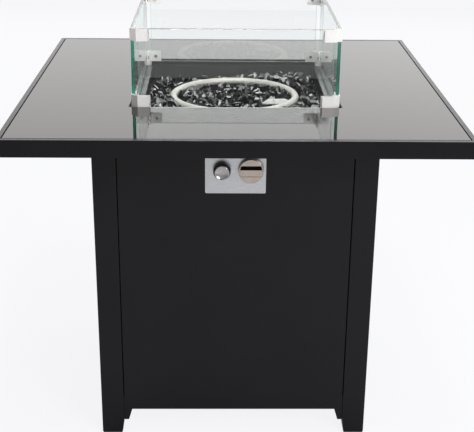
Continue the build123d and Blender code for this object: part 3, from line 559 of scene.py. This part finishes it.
def rock_fits(points, faces, roof, kept_clear, kept_bare):
    """True for a rock under its roof, over the bed, clear of the burner and not over its plate."""
    if max(point.z for point in points) > roof:
        return False
    if max(abs(point.x) for point in points) > bed_high.x:
        return False
    if max(abs(point.y) for point in points) > bed_high.y:
        return False
    down = Vector((0, 0, -1))
    if any(kept_bare.ray_cast(point, down, plate_drop)[0] for point in points):
        return False
    return not BVHTree.FromPolygons(points, faces).overlap(kept_clear)


def rock_copy(name, shape, move, chance):
    """A copy of a rock's shape at its place, with a random shade for each facet, the rare light
    ones painted highlights.
    """
    mesh = shape.copy()
    mesh.transform(move)
    # Random shade per facet: the rare light ones paint highlights, the rest vary the rock's own
    # tone.
    tones_and_glints = [chance.random() ** rock_glint_rarity for face in mesh.polygons]
    mesh.attributes.new("facet_tone_and_painted_glint", "FLOAT", "FACE").data.foreach_set("value", tones_and_glints)
    copy = bpy.data.objects.new(name, mesh)
    bpy.context.collection.objects.link(copy)
    return copy


def lava_rock_pile(finish):
    """Loose broken rocks, dropped one by one round the ring and copied from a few shapes."""
    kept_clear = solid_tree(
        "burner_ring", "burner_pan", "burner_riser", "electrode_bracket", "spark_electrode"
    )
    kept_bare = solid_tree("electrode_bracket")
    chance = random.Random(rock_seed)
    shapes = [rock_shape(number, chance) for number in range(rock_shapes)]
    placed = []
    copies = []
    for attempt in range(rock_tries):
        radius = chance.uniform(rock_radius_least, rock_radius_most)
        x = chance.uniform(bed_low.x, bed_high.x)
        y = chance.uniform(bed_low.y, bed_high.y)
        turn = Euler([chance.uniform(0, 2 * pi) for axis in range(3)]).to_matrix().to_4x4()
        width = chance.uniform(rock_width_least, rock_width_most)
        thickness = chance.uniform(rock_thickness_least, rock_thickness_most)
        shape = chance.choice(shapes).data
        place = Vector((x, y, resting_height(x, y, radius, placed)))
        stretch = Matrix.Diagonal((1.0, width, thickness, 1.0))
        move = Matrix.Translation(place) @ turn @ stretch @ Matrix.Scale(radius, 4)
        points = [move @ corner.co for corner in shape.vertices]
        faces = [list(face.vertices) for face in shape.polygons]
        if rock_fits(points, faces, roof_at(x, y), kept_clear, kept_bare):
            placed.append((place, radius))
            copies.append(rock_copy(f"rock_{len(copies)}", shape, move, chance))
    for shape in shapes:
        bpy.data.objects.remove(shape)
    bpy.ops.object.select_all(action="DESELECT")
    for copy in copies:
        copy.select_set(True)
    bpy.context.view_layer.objects.active = copies[0]
    bpy.ops.object.join()
    pile = bpy.context.object
    pile.name = "lava_rock_pile"
    finish_piece(pile, finish, "table", "lava_rock", "lava_rocks")


# Controls


def turned_disc(name, front, depth, radius):
    """A short round bar in line with the igniter's button, as a start for a control."""
    bpy.ops.mesh.primitive_cylinder_add(
        vertices=turned_sides, radius=radius, depth=depth,
        location=(button_x, front + depth / 2, button_z), rotation=(pi / 2, 0, 0),
    )
    disc = bpy.context.object
    disc.name = name
    bpy.ops.object.transform_apply(location=True, rotation=True, scale=True)
    return disc


def igniter_sleeve(finish):
    """Black sleeve that slides in the bezel, with a rounded front edge."""
    depth = button_depth - cap_skirt
    sleeve = turned_disc(
        "igniter_sleeve", button_low.y + cap_skirt, depth, button_radius - sleeve_step
    )
    select_front(sleeve, front_facing)
    bpy.ops.mesh.bevel(offset=sleeve_step, segments=sleeve_edge_steps, affect="EDGES")
    object_mode()
    bpy.ops.object.shade_smooth_by_angle(angle=smooth_angle)
    finish_piece(sleeve, finish, "igniter_button", "black_plastic")


def igniter_cap(finish):
    """Bright cap on the sleeve, with a rounded rim and a dished face."""
    cap = turned_disc("igniter_cap", button_low.y, cap_skirt, button_radius)
    select_front(cap, front_facing)
    bpy.ops.mesh.bevel(offset=cap_rim, segments=cap_rim_steps, affect="EDGES")
    object_mode()
    select_front(cap, flat_facing)
    for share in cap_dish_shares:
        bpy.ops.mesh.inset(thickness=cap_dish_ring)
        bpy.ops.transform.translate(value=(0, share * cap_dish, 0))
    object_mode()
    bpy.ops.object.shade_smooth_by_angle(angle=smooth_angle)
    finish_piece(cap, finish, "igniter_button", "chrome", "igniter_button")


# Studio


def seen_clearly(tree):
    """1 for a ray from the camera or through glass, else 0."""
    path = tree.nodes.new("ShaderNodeLightPath")
    return reckon(
        tree, "MAXIMUM", path.outputs["Is Camera Ray"], path.outputs["Is Transmission Ray"]
    )


def blend_shaders(tree, share, first, second, output):
    """Shows the second shader by this share and the first for the rest."""
    blend = tree.nodes.new("ShaderNodeMixShader")
    tree.links.new(share, blend.inputs["Fac"])
    tree.links.new(first, blend.inputs[1])
    tree.links.new(second, blend.inputs[2])
    tree.links.new(blend.outputs["Shader"], tree.nodes[output].inputs["Surface"])


def floor():
    """Pale floor that is near white to the camera and through glass, lifted a little in gloss, and
    keeps a share of its shadows."""
    bpy.ops.mesh.primitive_plane_add(size=floor_size)
    ground = bpy.context.object
    ground.name = "studio_floor"
    finish, tree, shader = new_finish(
        "studio_floor", Base_Color=floor_shade, Roughness=floor_roughness, Specular_IOR_Level=0.0
    )
    glow = tree.nodes.new("ShaderNodeEmission")
    glow.inputs["Color"].default_value = floor_glow
    path = tree.nodes.new("ShaderNodeLightPath")
    clear = reckon(tree, "MULTIPLY", seen_clearly(tree), floor_lift)
    gloss = reckon(tree, "MULTIPLY", path.outputs["Is Glossy Ray"], floor_gloss_lift)
    share = reckon(tree, "MAXIMUM", clear, gloss)
    blend_shaders(
        tree, share, shader.outputs["BSDF"], glow.outputs["Emission"], "Material Output"
    )
    ground.data.materials.append(finish)


def studio_world():
    """White to the camera and through glass, brighter to the right and rear in gloss, and softer
    as light."""
    world = bpy.data.worlds.new("studio")
    bpy.context.scene.world = world
    world.use_nodes = True
    tree = world.node_tree
    plain = tree.nodes["Background"]
    plain.inputs["Color"].default_value = background_white
    place = tree.nodes.new("ShaderNodeTexCoord")
    slope = tree.nodes.new("ShaderNodeVectorMath")
    slope.operation = "DOT_PRODUCT"
    slope.inputs[1].default_value = studio_slope
    tree.links.new(place.outputs["Generated"], slope.inputs[0])
    level = reckon(tree, "ADD", slope.outputs["Value"], studio_level)
    path = tree.nodes.new("ShaderNodeLightPath")
    dim = tree.nodes.new("ShaderNodeMapRange")
    dim.inputs["To Min"].default_value = 1.0
    dim.inputs["To Max"].default_value = ambient_strength
    tree.links.new(path.outputs["Is Diffuse Ray"], dim.inputs["Value"])
    strength = reckon(tree, "MULTIPLY", level, dim.outputs["Result"])
    shaded = tree.nodes.new("ShaderNodeBackground")
    shaded.inputs["Color"].default_value = studio_grey
    tree.links.new(strength, shaded.inputs["Strength"])
    blend_shaders(
        tree, seen_clearly(tree), shaded.outputs["Background"], plain.outputs["Background"],
        "World Output",
    )


def soft_lamp(name, place, aim, width, height, power):
    """A soft box that lights the object and shows in its gloss, but not to the camera."""
    bpy.ops.object.light_add(type="AREA", location=place)
    lamp = bpy.context.object
    lamp.name = name
    lamp.data.shape = "RECTANGLE"
    lamp.data.size = width
    lamp.data.size_y = height
    lamp.data.energy = power
    lamp.visible_camera = False
    lamp.rotation_euler = (Vector(aim) - Vector(place)).to_track_quat("-Z", "Y").to_euler()


def camera():
    """The photograph's camera, from its place, tilt, turn and roll."""
    bpy.ops.object.camera_add()
    eye = bpy.context.object
    eye.name = "photo_camera"
    eye.data.sensor_width = sensor_width
    eye.data.lens = focal_pixels * sensor_width / photo_width
    tilt = Matrix.Rotation(pi / 2 - camera_tilt, 4, "X")
    turn = Matrix.Rotation(-camera_turn, 4, "Z")
    roll = Matrix.Rotation(camera_roll, 4, "Z")
    eye.matrix_world = Matrix.Translation(camera_place) @ turn @ tilt @ roll
    bpy.context.scene.camera = eye


bpy.ops.object.select_all(action="DESELECT")
finishes = dress_nodes()
lava_rock_pile(finishes["lava_rock"])
igniter_sleeve(finishes["black_plastic"])
igniter_cap(cap_chrome())

floor()
studio_world()
for name, box in soft_boxes.items():
    soft_lamp(name, **box)
camera()
bpy.context.scene.view_settings.view_transform = "Standard"
